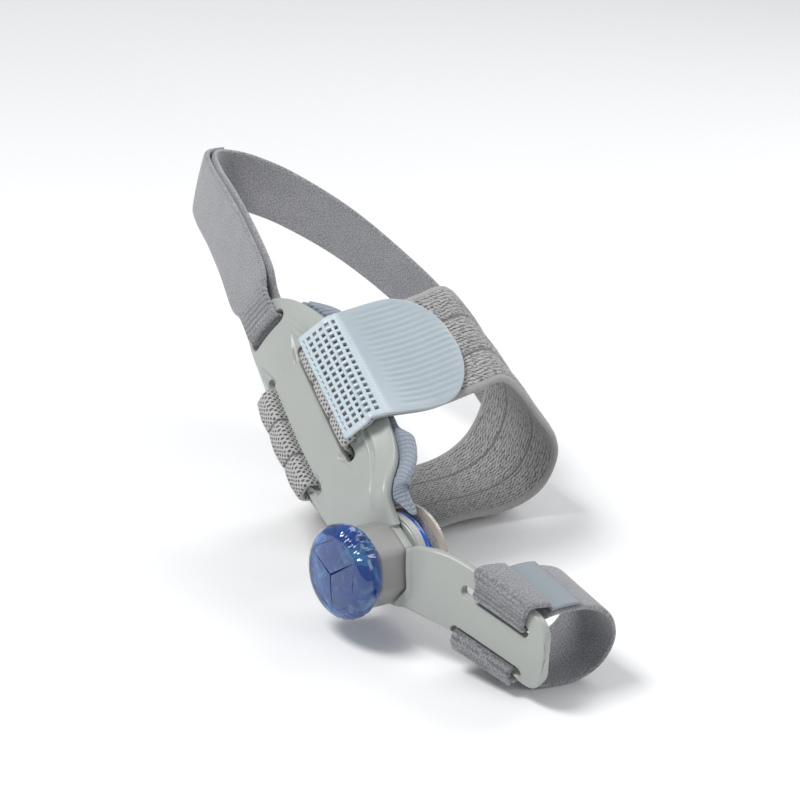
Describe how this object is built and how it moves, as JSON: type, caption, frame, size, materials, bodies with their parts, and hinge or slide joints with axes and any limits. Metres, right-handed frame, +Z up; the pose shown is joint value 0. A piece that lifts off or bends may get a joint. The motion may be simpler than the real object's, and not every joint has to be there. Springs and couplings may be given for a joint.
{
  "type": "bunion corrector",
  "caption": "Worn bunion corrector: inner-side foot plate with knob hub, hinged toe arm, soft pads, pierced hook tab and heel, midfoot and toe straps.",
  "frame": {"origin": "middle of the soft pad's skin side, on the knob's axis, where the brace sits on the inner side of the big toe's root joint", "axes": "+X to the toes, +Y across the foot to its outer side and away from the knob, +Z up to the instep; the sole lies 19 mm under the origin"},
  "size_m": [0.2276, 0.1203, 0.0811],
  "materials": {
    "grey_plastic": "satin moulded",
    "housing_plastic": "satin moulded",
    "blue_plastic": "clear, polished",
    "clear_gel": "clear, soft",
    "hook_tab": "translucent pale blue, ribbed",
    "pad_cloth": "twill faced foam",
    "webbing": "ribbed elastic",
    "brushed_cloth": "brushed loop",
    "grey_hook": "smooth",
    "steel": "drawn"
  },
  "bodies": {
    "brace": {"foot_plate": "grey_plastic", "knob_housing": "housing_plastic", "hub_flange": "grey_plastic", "blue_ring": "blue_plastic", "bunion_pad": "pad_cloth", "gel_ring": "clear_gel", "plate_pad": "pad_cloth", "midfoot_strap": "webbing", "strap_tab": "hook_tab", "heel_strap": "brushed_cloth"},
    "toe_arm": {"toe_arm": "grey_plastic", "hinge_pin": "steel", "toe_strap": "brushed_cloth", "toe_strap_tab": "grey_hook"},
    "knob": {"knob": "blue_plastic"}
  },
  "joints": [
    {"name": "knob_turn", "type": "hinge", "parent": "brace", "child": "knob", "pos_m": [0, -0.0264, 0], "axis": [0, -1, 0], "range_deg": [-360, 540]},
    {"name": "toe_swing", "type": "hinge", "parent": "brace", "child": "toe_arm", "pos_m": [0.0156, -0.0115, 0], "axis": [0, 0, -1], "range_deg": [-10, 15]}
  ],
  "couplings": [
    {"joint": "toe_swing", "follows": "knob_turn", "ratio": 0.027778}
  ]
}
